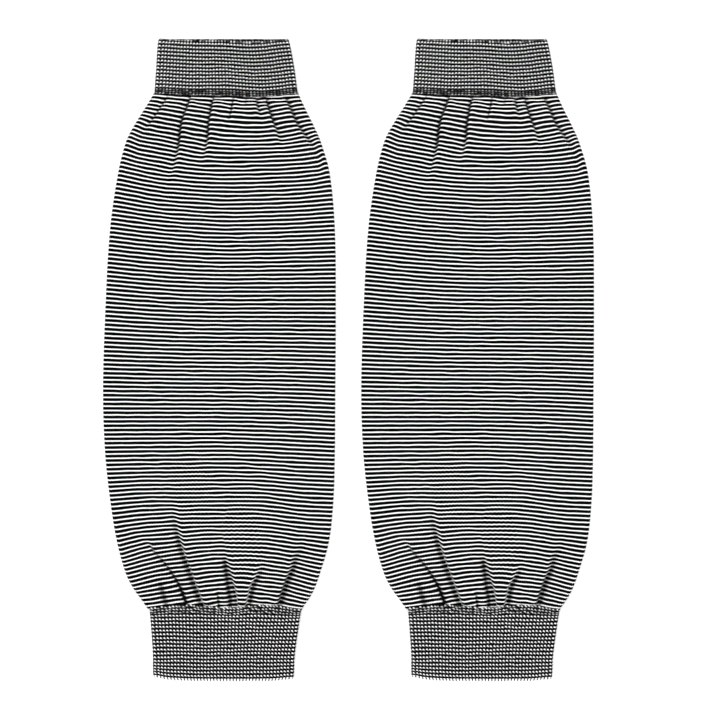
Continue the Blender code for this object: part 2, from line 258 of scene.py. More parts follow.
# The gathers. Each crease starts at the cuff, at this place across the cloth, and runs along its
# route of (x, along) places. It is a sharp line up to crisp_end, and from there a bend that
# softens to nothing at the route's end. The cloth on its top side, 1 for the right and -1 for
# the left, lies over the cloth beside it: it is lifted by rise and its courses are moved towards
# the cuff by shift. The cloth beside it sinks by dip. Both fade with the distance, over the two
# reaches. Shade is how dark the painted shade in the hollow gets, shade_place how far its middle
# lies from the crease and shade_reach how wide it is. Along the crease itself a dark line of
# painted shadow reaches as far as line says.
UPPER_FOLDS = (
    Fold(-0.81, 1, 1.4, 1.3, 0.5, 9.0, 5.0, 0.45, 0.4, 0.7, 0.45, 362.0,
         ((-34.4, 377.3), (-38.0, 372.0), (-41.7, 366.3), (-46.0, 360.0), (-51.0, 352.0))),
    Fold(-0.47, 1, 2.5, 2.0, 0.8, 11.0, 7.0, 0.35, 0.7, 0.8, 0.5, 344.0,
         ((-19.1, 377.3), (-21.1, 371.3), (-23.4, 366.0), (-25.2, 357.7), (-25.7, 352.1),
          (-27.4, 340.8), (-34.8, 311.4))),
    Fold(-0.165, 1, 2.4, 2.0, 0.8, 9.0, 6.0, 0.35, 0.7, 0.8, 0.5, 350.0,
         ((-3.3, 378.3), (-4.3, 375.9), (-6.2, 365.7), (-7.0, 360.9), (-7.5, 350.3),
          (-10.1, 336.0), (-10.9, 329.0))),
    Fold(0.08, 1, 0.8, 0.8, 0.4, 6.0, 3.0, 0.6, 0.2, 0.5, 0.4, 366.0,
         ((9.4, 379.0), (8.3, 372.6), (7.3, 367.8), (5.7, 360.0))),
    Fold(0.265, 1, 0.2, 0.3, 0.2, 2.0, 2.0, 0.35, 0.1, 0.5, 0.3, 374.0,
         ((17.9, 379.0), (17.0, 370.0))),
    Fold(0.41, -1, 2.0, 1.2, 0.5, 7.0, 2.6, 0.4, 0.6, 0.9, 0.45, 371.0,
         ((24.0, 379.0), (24.6, 373.0), (25.6, 368.0), (27.0, 360.0))),
    Fold(0.555, -1, 2.4, 1.9, 0.8, 4.0, 6.0, 0.35, 0.8, 1.0, 0.5, 358.0,
         ((30.4, 378.4), (32.0, 371.6), (33.8, 366.1), (36.6, 358.3), (38.7, 350.5),
          (40.5, 340.0))),
    Fold(0.84, -1, 2.3, 1.8, 0.6, 11.0, 4.5, 0.75, 0.7, 1.0, 0.6, 353.0,
         ((42.8, 378.5), (44.4, 375.4), (47.8, 367.6), (50.6, 361.4), (53.8, 356.4),
          (60.3, 346.4), (64.0, 339.0))),
)
LOWER_FOLDS = (
    Fold(-0.60, 1, 2.8, 1.8, 0.8, 8.0, 6.0, 0.5, 0.6, 0.8, 1.15, 85.0,
         ((-21.1, 49.6), (-25.2, 60.5), (-31.3, 70.7), (-37.1, 78.2), (-42.8, 84.9),
          (-45.6, 90.7), (-46.7, 93.5))),
    Fold(-0.34, 1, 3.2, 1.9, 0.9, 10.0, 8.0, 0.5, 2.3, 1.7, 0.2, 86.0,
         ((-9.5, 48.3), (-11.9, 54.9), (-15.0, 63.0), (-19.2, 74.3), (-22.3, 82.6),
          (-24.8, 92.8), (-27.0, 104.0), (-31.5, 132.0))),
    Fold(-0.1, -1, 0.9, 0.7, 0.4, 3.0, 2.0, 0.6, 0.3, 0.6, 0.4, 56.0,
         ((-0.5, 50.0), (-1.2, 55.0), (-1.8, 62.0))),
    Fold(0.03, -1, 0.5, 1.0, 0.9, 5.0, 4.0, 0.6, 0.0, 1.5, 0.1, 75.0,
         ((7.2, 52.8), (6.0, 58.6), (4.5, 69.3), (3.4, 76.6), (1.8, 86.0))),
    Fold(0.12, 1, 3.0, 1.7, 0.6, 6.0, 5.0, 0.3, 1.5, 1.5, 0.2, 62.0,
         ((12.4, 50.0), (11.2, 57.1), (9.0, 66.0), (6.6, 75.5), (4.8, 83.3), (3.3, 92.0),
          (2.5, 100.0))),
    Fold(0.29, -1, 2.9, 1.7, 0.6, 5.0, 5.0, 0.6, 2.4, 1.5, 0.2, 64.0,
         ((17.4, 50.0), (18.7, 56.4), (20.0, 61.8), (22.8, 67.0), (26.0, 75.0), (29.0, 83.0))),
    Fold(0.70, -1, 2.4, 1.9, 0.9, 10.0, 6.0, 0.65, 1.9, 1.7, 0.4, 71.0,
         ((38.1, 50.0), (40.2, 57.4), (43.0, 65.2), (46.2, 73.0), (48.0, 80.7),
          (51.8, 88.0), (54.5, 104.0))),
)

# A soft dent with no crease, from its (x, along) place at the lower cuff to the one where it ends
DENT_START = (-34.6, 50.0)
DENT_END = (-39.5, 67.0)
DENT_REACH = 1.7
DENT_DIP = 0.7
# How dark the painted shade in the dent is
DENT_SHADE = 0.7

# A crease's edge: half its width where it is crisp and where it is soft, how long it takes to
# soften and then spreads, how near the two columns beside it lie, and how far it rolls in
CRISP_EDGE = 0.25
SOFT_EDGE = 1.1
EDGE_SOFTENING = 14.0
EDGE_SPREAD = 0.07
EDGE_COLUMN_GAP = 0.6
EDGE_ROLL = 0.7
EDGE_ROLL_REACH = 1.3

# How far past its end a crease still draws the cloth, how near a seam its shifts and its painted
# shade fade out, and how its painted shade falls off
CREASE_FADE = 30.0
UPPER_SHIFT_FADE = 8.0
LOWER_SHIFT_FADE = 3.0
SHADE_FADE = 4.0
SHADE_FALL = 3
SHADE_POWER = 2.2

# How far the gathered body puffs out beside a seam, and how close to the folds it goes flat
GATHER_PUFF = 1.0
GATHER_PUFF_LENGTH = 14.0
FOLD_EDGE_POWER = 6.0

# The yarn: how rough it is, the length of its twist, how high and how strongly that stands, from
# which to which brightness it goes, and how uneven and how soft a stripe's edge is
YARN_ROUGHNESS = 0.95
YARN_TWIST = 0.8
YARN_BUMP = 0.25
BUMP_STRENGTH = 0.6
TWIST_RANGE = (0.3, 0.7)
TWIST_SHADES = (0.9, 1.0)
EDGE_FUZZ = 0.16
EDGE_BLUR = 0.04

RibYarn = namedtuple(
    "RibYarn", "slants half_height link_white link_drop band_end bound_off_end packed_from rim_from"
)

# The white stitches of each cuff: slanted dots, with a paler link to the next one, which lies
# lower. Then the courses at which its band and its bound-off edge end, and its packed courses and
# its rim start. A cell of the pattern is a rib wide and two courses tall, with its white stitch
# in the middle, and goes from -1 to 1. The slant changes over this many wales. A value's edges
# are the places between which it softens.
NEVER = 100.0
UPPER_YARN = RibYarn((-0.35, 0.1), 0.32, 0.2, 0.25, 5.3, -NEVER, NEVER, 31.5)
LOWER_YARN = RibYarn((0.3, 0.4), 0.34, 0.14, 0.17, -NEVER, 1.0, 35.0, NEVER)
CELL_SCALE = (0.5, 0.5, 0.0)
CELL_START = (0.0, 0.25, 0.0)
DOT_SLANT_WALES = 60.0
DOT_HALF_WIDTH = 0.6
DOT_EDGES = (1.1, 0.9)
LINK_EDGES = (0.3, 0.14)
DOT_JITTER = (0.2, 0.13, 0.0)
PACKED_JITTER = 3.0
PACKED_DIMNESS = 0.6

# The specks of the band and of the upper rim, and the dark loops of the bound-off edge
SPECK_WHITE = 0.55
SPECK_LEAST = 0.04
SPECK_POWER = 1.4
RIM_WHITE = 0.8
RIM_SPECK_EDGES = (0.7, 0.3)
LOOP_HALF_WIDTH = 0.45
LOOP_HALF_HEIGHT = 0.5
LOOP_EDGES = (0.8, 1.2)

# From the middle of a rib to its valley, where its crest ends and where its leg groove does
CREST_EDGES = (0.92, 0.3)
GROOVE_EDGES = (0.3, 0.0)

# Points of one rib round the tube, from valley to valley, and of one wale: shares of its width.
# Then the rows of a cuff's course, the points at the back, and the rows of the inner skins, which
# are closer over the last courses at the upper mouth.
RIB_COLUMNS = (0.0, 0.12, 0.2, 0.34, 0.5, 0.66, 0.8, 0.88)
WALE_COLUMNS = (0.0, 0.5)
COURSE_ROWS = 3
BODY_BACK_POINTS = 10
CUFF_BACK_POINTS = 80
BODY_INNER_ROWS = 18
LOWER_INNER_ROWS = 8
UPPER_INNER_ROWS = 6
MOUTH_COURSES = 4
OUTLINE_STEPS = 60

# The stage, in metres
FLOOR_REACH = 4.0
FLOOR_DROP = -0.0001
LAMP_SIZE = 1.6
LAMP_PLACE = (-0.5, 0.6, 1.8)
VIEW_CENTRE = (0.007475, -0.0003)


def mix(low, high, share):
    return low + (high - low) * share


def smooth_step(value):
    value = np.clip(value, 0.0, 1.0)
    return value * value * (3.0 - 2.0 * value)


def between(places, at):
    """Which place each value comes after, as its number, and its share of the way to the next."""
    start = np.clip(np.searchsorted(places, at) - 1, 0, len(places) - 2)
    return start, (at - places[start]) / (places[start + 1] - places[start])


def curve_through(points, at):
    """The heights, at these places, of a smooth curve through (place, height) points."""
    places, heights = np.array(points, float).T
    before = np.maximum(np.arange(len(places)) - 1, 0)
    after = np.minimum(np.arange(len(places)) + 1, len(places) - 1)
    slopes = (heights[after] - heights[before]) / (places[after] - places[before])
    start, share = between(places, np.clip(at, places[0], places[-1]))
    width = places[start + 1] - places[start]
    leave = share * (1.0 - share) ** 2 * width * slopes[start]
    arrive = share * share * (share - 1.0) * width * slopes[start + 1]
    return mix(heights[start], heights[start + 1], smooth_step(share)) + leave + arrive


def edges_at(table, along):
    places, *sides = zip(*table)
    return [curve_through(list(zip(places, side)), along) for side in sides]


def x_on_front(along, across):
    """Where a place across the front of the body lies on these rows."""
    left, right = edges_at(BODY_OUTLINE, along)
    inset = BODY_WALL + 0.5 * HOLLOW + BODY_RELIEF
    return mix(left + inset, right - inset, 0.5 + 0.5 * across)


def upper_seam_along(across):
    return UPPER_SEAM + curve_through(UPPER_ROW_CURVE, across)


def lower_seam_along(across):
    return LOWER_SEAM + curve_through(LOWER_SEAM_CURVE, across)


def body_row_along(row, across):
    """Where a course of the body, named by its middle height, passes this place."""
    along = row + np.zeros_like(across)
    places = sorted((*BEND_PLACES, 0.0))
    rows, *columns = zip(*BODY_ROW_BEND)
    for place, column in zip(BEND_PLACES, columns):
        here = curve_through([(each, float(each == place)) for each in places], across)
        along = along + here * curve_through(list(zip(rows, column)), row)
    return along


def cut_at_seams(along, across):
    """Packs what runs past a cuff's edge under that edge, and tells how far the rest is from it."""
    low = lower_seam_along(across) - SEAM_TUCK
    high = upper_seam_along(across) + SEAM_TUCK
    to_seam = np.maximum(np.minimum(along - low, high - along), 0.0)
    along = np.where(along < low, mix(low, along, HIDDEN_SHARE), along)
    return np.where(along > high, mix(high, along, HIDDEN_SHARE), along), to_seam


def course_along(table, course):
    """The middle height of a course. Past the ends of the table the spacing goes on evenly."""
    numbers, heights = np.array(table).T
    start, share = between(numbers, course)
    return mix(heights[start], heights[start + 1], share)


Ring = namedtuple("Ring", "across rise bulge front wale wales_round")


def ring_places(counts, columns, back_points, wales_each):
    """The places round one ring of the tube: the front, the right fold, the back, the left fold.

    Rise is 1 on the front and -1 on the back, and bulge is 1 half way round a fold. Columns are
    the shares of a rib, or of a wale, that have a point, and wale counts the wales so far.
    """
    front, side, back = counts
    around = np.cumsum([0, front, side, back, side])

    def stretch(start, stop):
        return np.array([i + share for i in range(start, stop) for share in columns])

    place = np.concatenate([
        stretch(around[0], around[2]),
        np.linspace(around[2], around[3], back_points, endpoint=False),
        stretch(around[3], around[4]),
    ])
    across = np.interp(place, around, (-1.0, 1.0, 1.0, -1.0, -1.0))
    turn = np.radians(np.interp(place, around, (90.0, 90.0, -90.0, -90.0, -270.0)))
    bulge = np.abs(np.cos(turn)) * np.sign(across)
    return Ring(across, np.sin(turn), bulge, place <= front, place * wales_each,
                around[-1] * wales_each)


def wobble(row, ring, seed):
    """How far the courses of the front run up or down by chance, in small uneven waves."""
    chance = np.random.default_rng(seed)
    waves = np.zeros(np.broadcast(row, ring.wale).shape)
    for _ in range(WOBBLE_WAVES):
        along_turn, across_turn = chance.uniform(*WAVE_ALONG), chance.uniform(*WAVE_ACROSS)
        start = chance.uniform(0.0, 2.0 * math.pi)
        turn = row * along_turn + ring.wale * across_turn * chance.choice((-1, 1))
        waves += np.sin(turn + start)
    edge_fade = np.where(ring.front, 1.0 - np.abs(ring.across) ** FOLD_EDGE_POWER, 0.0)
    return COURSE_WOBBLE * waves * edge_fade / math.sqrt(WOBBLE_WAVES)


def tube_points(outline, wall, relief, inside, ring, along, lift=0.0, draw=0.0, shade=0.0):
    """Points of the tube's outer or inner skin, as (x, along, height), and how much painted shade
    each takes.

    The stitches raised on the skin reach the outline at the two folds, so the skin itself lies
    inside it there by the height of the relief.
    """
    left, right = edges_at(outline, along)
    round_radius = wall + 0.5 * HOLLOW
    skin_radius = 0.5 * HOLLOW if inside else round_radius
    x = 0.5 * (left + right) + ring.across * (0.5 * (right - left) - round_radius - relief)
    x = x + skin_radius * ring.bulge + draw
    height = round_radius + skin_radius * ring.rise + lift
    points = np.stack(np.broadcast_arrays(x, along, height), axis=-1)
    return points, np.broadcast_to(shade, x.shape)


Crease = namedtuple("Crease", "fold x draw strength crisp edge")


def crease_of(fold, row):
    """A fold's crease on each row: its x, how far it draws the cloth, and how strong it is."""
    along = body_row_along(row, fold.across)
    seam, end = fold.route[0][1], fold.route[-1][1]
    on_route = np.clip(along, min(seam, end), max(seam, end))
    route = sorted((place, x) for x, place in fold.route)
    draw = curve_through(route, on_route) - x_on_front(on_route, fold.across)
    draw *= smooth_step(1.0 - (along - end) * np.sign(end - seam) / CREASE_FADE)
    x = x_on_front(along, fold.across) + draw
    strength = smooth_step((end - along) / (end - fold.crisp_end))
    past_crisp = (along - fold.crisp_end) * np.sign(end - seam)
    softness = smooth_step(0.5 + past_crisp / EDGE_SOFTENING)
    edge = mix(CRISP_EDGE, SOFT_EDGE, softness) + EDGE_SPREAD * np.maximum(past_crisp, 0.0)
    return Crease(fold, x, draw, strength, 1.0 - softness, edge)


def drawn_sideways(creases, across):
    """How far the creases of one cuff draw each column of the front, on each row."""
    still = np.zeros_like(creases[0].x)
    places = np.array([-1.0, *(crease.fold.across for crease in creases), 1.0])
    draws = np.hstack([still, *(crease.draw for crease in creases), still])
    start, share = between(places, across)
    return mix(draws[:, start], draws[:, start + 1], share)


def gather(creases, across, x, to_cuff):
    """What the creases of one cuff do: courses shifted, cloth lifted, and shade painted in hollows.
    """
    shift, top, sink, shade = np.zeros((4, *x.shape))
    for crease in creases:
        fold = crease.fold
        beside = fold.top_side * (across - fold.across)
        distance = np.abs(x - crease.x)
        away = np.where(beside > 0.0, distance, -distance)
        on_top = 0.5 + 0.5 * np.tanh(away / crease.edge)
        fade_top = crease.strength * np.exp(-distance / fold.reach_top)
        fade_under = crease.strength * np.exp(-distance / fold.reach_under)
        shift += 0.5 * to_cuff * fold.shift * (on_top * fade_top - (1.0 - on_top) * fade_under)
        roll = min(EDGE_ROLL, fold.shift) * np.exp(-((distance / EDGE_ROLL_REACH) ** 2))
        shift -= to_cuff * crease.crisp * crease.strength * on_top * roll
        top = np.maximum(top, fold.rise * on_top * fade_top)
        sink += fold.dip * (1.0 - on_top) * fade_under
        # Painted shade in the hollow beside the crease, and a painted shadow line along the crisp
        # crease
        hollow = np.exp(-(((away + fold.shade_place) / fold.shade_reach) ** 2))
        line = np.exp(-((away / fold.line) ** 2)) * crease.crisp
        darkest = np.maximum(fold.shade * hollow, line)
        shade = np.maximum(shade, crease.strength ** SHADE_FALL * darkest)
    return shift, top - sink, shade


def dented(x, along):
    """How far into the soft dent a place lies: 1 in its middle line, fading in its upper half."""
    (start_x, start), (end_x, end) = DENT_START, DENT_END
    share = np.clip((along - start) / (end - start), 0.0, 1.0)
    off = (x - mix(start_x, end_x, share)) / DENT_REACH
    return smooth_step(2.0 * (1.0 - share)) * np.exp(-off ** 2)


def pull_to_crease(x, creases, across):
    """Brings the two columns beside each crease together, where the crease is crisp."""
    for crease in creases:
        column = np.searchsorted(across, crease.fold.across)
        for beside, place in ((column - 1, -0.5), (column, 0.5)):
            goal = crease.x[:, 0] + place * EDGE_COLUMN_GAP
            x[:, beside] = mix(x[:, beside], goal, crease.crisp[:, 0])
    return x


def body_points(row, ring, inside):
    """Points of the body on these rows, which are a column, and the painted shade of each one."""
    along = body_row_along(row, ring.across)
    if inside:
        along, _ = cut_at_seams(along, ring.across)
        return tube_points(BODY_OUTLINE, BODY_WALL, BODY_RELIEF, inside, ring, along)
    on_front = np.flatnonzero(ring.front)
    across = ring.across[on_front]
    upper = [crease_of(fold, row) for fold in UPPER_FOLDS]
    lower = [crease_of(fold, row) for fold in LOWER_FOLDS]
    x = x_on_front(along[:, on_front], across)
    straight_x = x.copy()
    x = x + drawn_sideways(upper, across) + drawn_sideways(lower, across)
    x = pull_to_crease(pull_to_crease(x, upper, across), lower, across)
    upper_shift, upper_lift, upper_shade = gather(upper, across, x, 1.0)
    lower_shift, lower_lift, lower_shade = gather(lower, across, x, -1.0)
    dent = dented(x, along[:, on_front])
    lower_lift -= DENT_DIP * dent
    lower_shade = np.maximum(lower_shade, DENT_SHADE * dent)
    edge_fade = 1.0 - np.abs(across) ** FOLD_EDGE_POWER
    _, to_seam = cut_at_seams(along, ring.across)
    along += wobble(row, ring, seed=1) * (1.0 + BODY_WOBBLE * np.exp(-to_seam / BODY_WOBBLE_REACH))
    to_seam = to_seam[:, on_front]
    upper_shift *= smooth_step(to_seam / UPPER_SHIFT_FADE)
    lower_shift *= smooth_step(to_seam / LOWER_SHIFT_FADE)
    upper_shade *= smooth_step(to_seam / SHADE_FADE)
    along[:, on_front] += (upper_shift + lower_shift) * edge_fade
    along, to_seam = cut_at_seams(along, ring.across)
    to_seam = to_seam[:, on_front]
    puff = GATHER_PUFF * np.exp(-to_seam / GATHER_PUFF_LENGTH)
    raised = mix(SEAM_HEIGHT, puff + upper_lift + lower_lift, smooth_step(to_seam / SEAM_ROLL))
    lift, draw, shade = np.zeros((3, *along.shape))
    lift[:, on_front] = raised * edge_fade
    draw[:, on_front] = x - straight_x
    # The painted shade of the gathers' hollows, creases and dent
    shade[:, on_front] = np.maximum(upper_shade, lower_shade) * edge_fade
    return tube_points(BODY_OUTLINE, BODY_WALL, BODY_RELIEF, inside, ring, along, lift, draw, shade)


def cuff_bend(table, across, share):
    """How far a course stands above its plain height, at a share of the cuff's height."""
    places, *levels = zip(*table)
    above = 0.0
    for number, level in enumerate(levels, start=1):
        nearness = [float(number == other) for other in range(len(BEND_SHARES))]
        bend = curve_through(list(zip(places, level)), across)
        above = above + bend * np.interp(share, BEND_SHARES, nearness)
    return above


def lower_cuff_points(row, ring, inside):
    drop = lower_seam_along(ring.across) - LOWER_SEAM
    along = row + drop * smooth_step(1.0 - (LOWER_SEAM - row) / LOWER_SEAM_REACH)
    near_seam = smooth_step(1.0 - (LOWER_SEAM - row) / SEAM_WOBBLE_REACH)
    share = along / LOWER_SEAM
    along += cuff_bend(LOWER_CUFF_BENDS, ring.across, share)
    uneven = smooth_step(RIM_WOBBLE_START * share) + SEAM_WOBBLE * near_seam ** 2
    along += wobble(row, ring, seed=2) * uneven
    rim = curve_through(LOWER_RIM_CURVE, ring.across)
    along += rim * (1.0 - smooth_step(along / RIM_CURVE_REACH))
    return tube_points(LOWER_CUFF_OUTLINE, CUFF_WALL, CUFF_RELIEF, inside, ring, along)


def upper_cuff_points(row, ring, inside):
    front_height = SLEEVE_LENGTH - UPPER_SEAM - MOUTH_DIP
    share = (row - UPPER_SEAM) / front_height
    seam = upper_seam_along(ring.across)
    on_front = seam + share * front_height
    on_back = mix(seam, SLEEVE_LENGTH, share)
    along = mix(on_back, on_front, smooth_step(0.5 + ring.rise))
    along += cuff_bend(UPPER_CUFF_BENDS, ring.across, share)
    along += wobble(row, ring, seed=3) * smooth_step(4.0 * share * (1.0 - share))
    edge = np.minimum(1.0, np.abs(ring.across) / MOUTH_HALF_WIDTH)
    to_rim = (1.0 - share) * front_height
    lift = MOUTH_RISE * (1.0 - edge * edge) ** 2 * smooth_step(1.0 - to_rim / MOUTH_DEPTH)
    lift = np.where(ring.front, lift, 0.0)
    return tube_points(UPPER_CUFF_OUTLINE, CUFF_WALL, CUFF_RELIEF, inside, ring, along, lift)


def tube_mesh(name, make_points, table, courses, inner_courses, ring):
    """A closed tube of knit. Its points know their wale, course, painted shade and share of relief.

    Its rows run up the outer skin and down the inner one, and the last row joins the first.
    """
    skins = []
    for numbers, inside in ((courses, False), (inner_courses[::-1], True)):
        points, shade = make_points(course_along(table, numbers)[:, None], ring, inside)
        course, wale = np.broadcast_arrays(numbers[:, None], ring.wale)
        relief = np.broadcast_to(0.0 if inside else smooth_step(1.0 + ring.rise), wale.shape)
        skins.append((points, course, wale, shade, relief))
    points, *values = (np.concatenate(part) for part in zip(*skins))
    points = points.reshape(-1, 3)
    near = np.arange(len(ring.wale))
    far = np.roll(near, -1)
    row = np.arange(0, len(points), len(near))[:, None]
    after = np.roll(row, -1)
    quads = np.stack([row + near, row + far, after + far, after + near], axis=-1).reshape(-1, 4)
    mesh = bpy.data.meshes.new(name)
    mesh.from_pydata(points * MM, [], quads)
    far_wale = np.append(ring.wale[1:], ring.wales_round)
    corner_wale = np.stack([ring.wale, far_wale, far_wale, ring.wale], axis=-1)
    corner_course = values[0].ravel()[quads]
    pattern = np.stack([np.tile(corner_wale, (len(row), 1)), corner_course], axis=-1)
    uv_layer = mesh.uv_layers.new(name="knit")
    uv_layer.data.foreach_set("uv", pattern.astype(np.float32).ravel())
    for name, value in zip(("course", "wale", "shade", "relief"), values):
        attribute = mesh.attributes.new(name, "FLOAT", "POINT")
        attribute.data.foreach_set("value", value.astype(np.float32).ravel())
    mesh.shade_smooth()
    return mesh


def add_node(tree, kind, inputs=(), **settings):
    """Adds a node with its settings, and sets or links its inputs, by place or by name."""
    node = tree.nodes.new(kind)
    for name, value in settings.items():
        setattr(node, name, value)
    for key, value in inputs.items() if isinstance(inputs, dict) else enumerate(inputs):
        if isinstance(value, bpy.types.Node):
            value = value.outputs[0]
        if isinstance(value, bpy.types.NodeSocket):
            tree.links.new(value, node.inputs[key])
        else:
            node.inputs[key].default_value = value
    return node


MATH = "ShaderNodeMath"
VECTOR_MATH = "ShaderNodeVectorMath"
MAP_RANGE = "ShaderNodeMapRange"
MIX = "ShaderNodeMix"
SMOOTH = {"interpolation_type": "SMOOTHSTEP"}

# The mix node's own places for the share and the two values, or the share and the two colours
VALUE_MIX = (0, 2, 3)
COLOUR_MIX = (0, 6, 7)
COLOUR_MIXED = 2


def rib_places(add, wale, wales_in_rib):
    """How far a place is from the middle of its rib, or of its wale: 0 there, 1 in the valley."""
    rib = add(MATH, (wale, wales_in_rib), operation="DIVIDE")
    share = add(MATH, (rib,), operation="FRACT")
    return add(MATH, (add(MATH, (share, 2.0, -1.0), operation="MULTIPLY_ADD"),),
               operation="ABSOLUTE")


def course_ridge(add, course):
    """How high a place stands on its course: 1 in the middle, 0 in the groove beside it."""
    turns = add(MATH, (course, math.pi), operation="MULTIPLY")
    return add(MATH, (add(MATH, (turns,), operation="SINE"),), operation="ABSOLUTE")


def from_oval(add, across, along, half_width, half_height):
    """How far a place is from the middle of an oval, as a share of the oval's own size."""
    place = add("ShaderNodeCombineXYZ", (across, along))
    share = add(VECTOR_MATH, (place, (half_width, half_height, 1.0)), operation="DIVIDE")
    return add(VECTOR_MATH, (share,), operation="LENGTH").outputs["Value"]


def stitch_tree():
    """Geometry nodes that raise the stitches of a tube from each point's wale and course."""
    tree = bpy.data.node_groups.new("Raise the stitches", "GeometryNodeTree")
    interface = tree.interface
    interface.new_socket("Geometry", in_out="OUTPUT", socket_type="NodeSocketGeometry")
    interface.new_socket("Geometry", in_out="INPUT", socket_type="NodeSocketGeometry")
    for name in ("Wales in a Rib", "Rib Depth", "Leg Groove", "Course Ridge", "Stitch Arch"):
        interface.new_socket(name, in_out="INPUT", socket_type="NodeSocketFloat")
    interface.new_socket("Yarn", in_out="INPUT", socket_type="NodeSocketMaterial")
    add = partial(add_node, tree)
    size = add("NodeGroupInput").outputs
    wale, course, relief = (add("GeometryNodeInputNamedAttribute", {"Name": name}, data_type="FLOAT")
                            for name in ("wale", "course", "relief"))
    from_middle = rib_places(add, wale, size["Wales in a Rib"])
    crest = add(MAP_RANGE, (from_middle, *CREST_EDGES), **SMOOTH)
    groove = add(MAP_RANGE, (from_middle, *GROOVE_EDGES), **SMOOTH)
    rib = add(MATH, (crest, size["Rib Depth"]), operation="MULTIPLY")
    dent = add(MATH, (groove, size["Leg Groove"]), operation="MULTIPLY")
    legs = add(MATH, (rib, dent), operation="SUBTRACT")
    raised = add(MATH, (course_ridge(add, course), size["Course Ridge"], legs),
                 operation="MULTIPLY_ADD")
    height = add(MATH, (raised, relief), operation="MULTIPLY")
    outward = add(VECTOR_MATH, {0: add("GeometryNodeInputNormal"), "Scale": height},
                  operation="SCALE")
    up_share = add(MATH, (0.5, from_middle), operation="SUBTRACT")
    arch = add(MATH, (size["Stitch Arch"], relief), operation="MULTIPLY")
    up = add("ShaderNodeCombineXYZ", {"Y": add(MATH, (up_share, arch), operation="MULTIPLY")})
    moved = add("GeometryNodeSetPosition", {
        "Geometry": size["Geometry"],
        "Offset": add(VECTOR_MATH, (outward, up), operation="ADD"),
    })
    real = add("GeometryNodeRealizeInstances", {"Geometry": moved})
    painted = add("GeometryNodeSetMaterial", {"Geometry": real, "Material": size["Yarn"]})
    add("NodeGroupOutput", {"Geometry": painted})
    return tree


def add_object(name, data):
    """Puts a new object into the scene."""
    item = bpy.data.objects.new(name, data)
    bpy.context.scene.collection.objects.link(item)
    return item


def grown(mesh, tree, values):
    """The plain mesh that a geometry nodes tree makes of a mesh, with these inputs by name."""
    carrier = add_object(mesh.name, mesh)
    modifier = carrier.modifiers.new("Knit", "NODES")
    modifier.node_group = tree
    for item in tree.interface.items_tree:
        if item.in_out == "INPUT" and item.name in values:
            modifier[item.identifier] = values[item.name]
    evaluated = carrier.evaluated_get(bpy.context.evaluated_depsgraph_get())
    result = bpy.data.meshes.new_from_object(evaluated)
    bpy.data.objects.remove(carrier)
    return result


def place_pair(mesh, name, slot, flat, area):
    """Puts a piece of knit in each sleeve, standing for the frame's own node of that name."""
    for side, direction in (("left", -0.5), ("right", 0.5)):
        piece_mesh = mesh.copy()
        shift = (direction * SLEEVE_SPACING * MM, CUFF_LOW.y, 0.0)
        piece_mesh.transform(Matrix.Translation(shift))
        piece = add_object(f"{side}_{name}_knit", piece_mesh)
        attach(piece, BODY_NAME)
        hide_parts(f"{side}_{name}")


def cloth_size(outline, low, high):
    """The flat width and length of a tube's cloth, opened out, and its area, in metres."""
    left, right = edges_at(outline, np.linspace(low, high, OUTLINE_STEPS))
    around = 2.0 * (right - left)
    length = (high - low) * MM
    return (float(around.max()) * MM, length), float(around.mean()) * MM * length


def linear(hex_colour):
    """A colour of three linear values from an sRGB hex string."""
    parts = [int(hex_colour[i:i + 2], 16) / 255.0 for i in (1, 3, 5)]
    return [part / 12.92 if part <= 0.04045 else ((part + 0.055) / 1.055) ** 2.4
            for part in parts]


def matt_material(name, roughness):
    """A new material with no gloss, and its shader."""
    material = bpy.data.materials.new(name)
    material.use_nodes = True
    shader = material.node_tree.nodes["Principled BSDF"]
    shader.inputs["Roughness"].default_value = roughness
    shader.inputs["Specular IOR Level"].default_value = 0.0
    return material, shader


Cotton = namedtuple("Cotton", "material shader add knit wale course twist")


def spun_cotton(name, wales_in_rib):
    """Matt spun cotton: rough, with short fibres that scatter light and no gloss."""
    material, shader = matt_material(name, YARN_ROUGHNESS)
    add = partial(add_node, material.node_tree)
    knit = add("ShaderNodeUVMap", uv_map="knit")
    wale, course, _ = add("ShaderNodeSeparateXYZ", (knit,)).outputs

    # The underside's stitches, which its mesh doesn't raise, and the twist of the yarn
    from_middle = rib_places(add, wale, wales_in_rib)
    stitch = add(MATH, (course_ridge(add, course), from_middle), operation="SUBTRACT")
    relief = add("ShaderNodeAttribute", attribute_name="relief")
    flat = add(MATH, (1.0, relief.outputs["Fac"]), operation="SUBTRACT")
    twist = add("ShaderNodeTexNoise", {
        "Vector": add("ShaderNodeTexCoord").outputs["Object"],
        "Scale": 1.0 / (YARN_TWIST * MM),
        "Detail": 2.0,
    })
    height = add(MATH, (stitch, flat, twist), operation="MULTIPLY_ADD")
    bump = add("ShaderNodeBump",
               {"Height": height, "Strength": BUMP_STRENGTH, "Distance": YARN_BUMP * MM})
    material.node_tree.links.new(bump.outputs[0], shader.inputs["Normal"])
    return Cotton(material, shader, add, knit, wale, course, twist)


